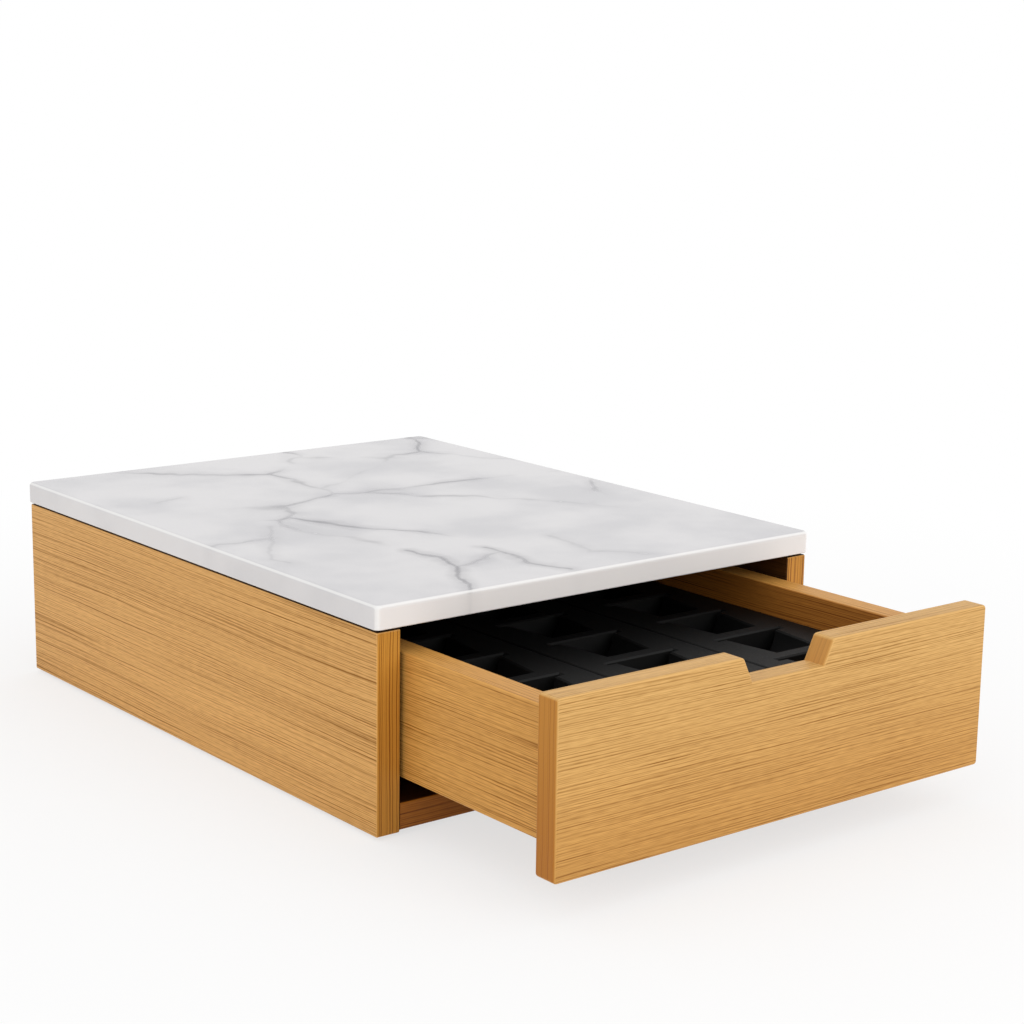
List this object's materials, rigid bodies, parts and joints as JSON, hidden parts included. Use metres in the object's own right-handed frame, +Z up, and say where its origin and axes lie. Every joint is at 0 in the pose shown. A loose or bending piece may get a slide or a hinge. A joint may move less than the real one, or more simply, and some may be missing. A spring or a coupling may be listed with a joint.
{
  "type": "coffee capsule holder",
  "caption": "Low bamboo countertop cabinet with a polished stone top and a pull-out drawer; moulded trays in the drawer hold coffee capsules on their sides.",
  "frame": {"origin": "on the supporting surface, under the centre of the cabinet's base", "axes": "+X to the user's right, -Y to the front where the drawer opens, +Z up"},
  "size_m": [0.25, 0.425, 0.101],
  "materials": {
    "board_bamboo": "fine-grained laminated bamboo, satin oiled",
    "front_bamboo": "fine-grained laminated bamboo, satin oiled",
    "rail_bamboo": "planed bamboo, waxed",
    "dowel_wood": "plain turned hardwood",
    "stone": "polished white marble with soft grey veins",
    "tray_plastic": "black moulded plastic, fine satin texture",
    "foot_rubber": "matt black rubber",
    "bond_foam": "dark foam bonding tape",
    "bumper_felt": "brown felt",
    "screw_steel": "zinc-plated steel"
  },
  "bodies": {
    "cabinet": {"left_side_panel": "board_bamboo", "right_side_panel": "board_bamboo", "back_panel": "board_bamboo", "bottom_panel": "board_bamboo", "left_panel_dowels": "dowel_wood", "right_panel_dowels": "dowel_wood", "back_base_dowels": "dowel_wood", "stone_top": "stone", "left_bond_strip": "bond_foam", "right_bond_strip": "bond_foam", "back_bond_strip": "bond_foam", "front_left_foot": "foot_rubber", "front_right_foot": "foot_rubber", "rear_left_foot": "foot_rubber", "rear_right_foot": "foot_rubber", "left_runner": "rail_bamboo", "right_runner": "rail_bamboo", "left_runner_screws": "screw_steel", "right_runner_screws": "screw_steel", "left_kicker": "rail_bamboo", "right_kicker": "rail_bamboo", "left_kicker_screws": "screw_steel", "right_kicker_screws": "screw_steel", "stop_bar": "rail_bamboo", "stop_bar_screws": "screw_steel"},
    "drawer": {"drawer_front": "front_bamboo", "drawer_left_side": "board_bamboo", "drawer_right_side": "board_bamboo", "drawer_back": "board_bamboo", "drawer_bottom": "board_bamboo", "drawer_front_dowels": "dowel_wood", "drawer_back_dowels": "dowel_wood", "stop_block": "rail_bamboo", "stop_block_screws": "screw_steel", "front_bumpers": "bumper_felt", "left_capsule_tray": "tray_plastic", "middle_capsule_tray": "tray_plastic", "right_capsule_tray": "tray_plastic"}
  },
  "joints": [
    {"name": "drawer_slide", "type": "slide", "parent": "cabinet", "child": "drawer", "axis": [0, -1, 0], "range_m": [-0.0987, 0.11]}
  ]
}
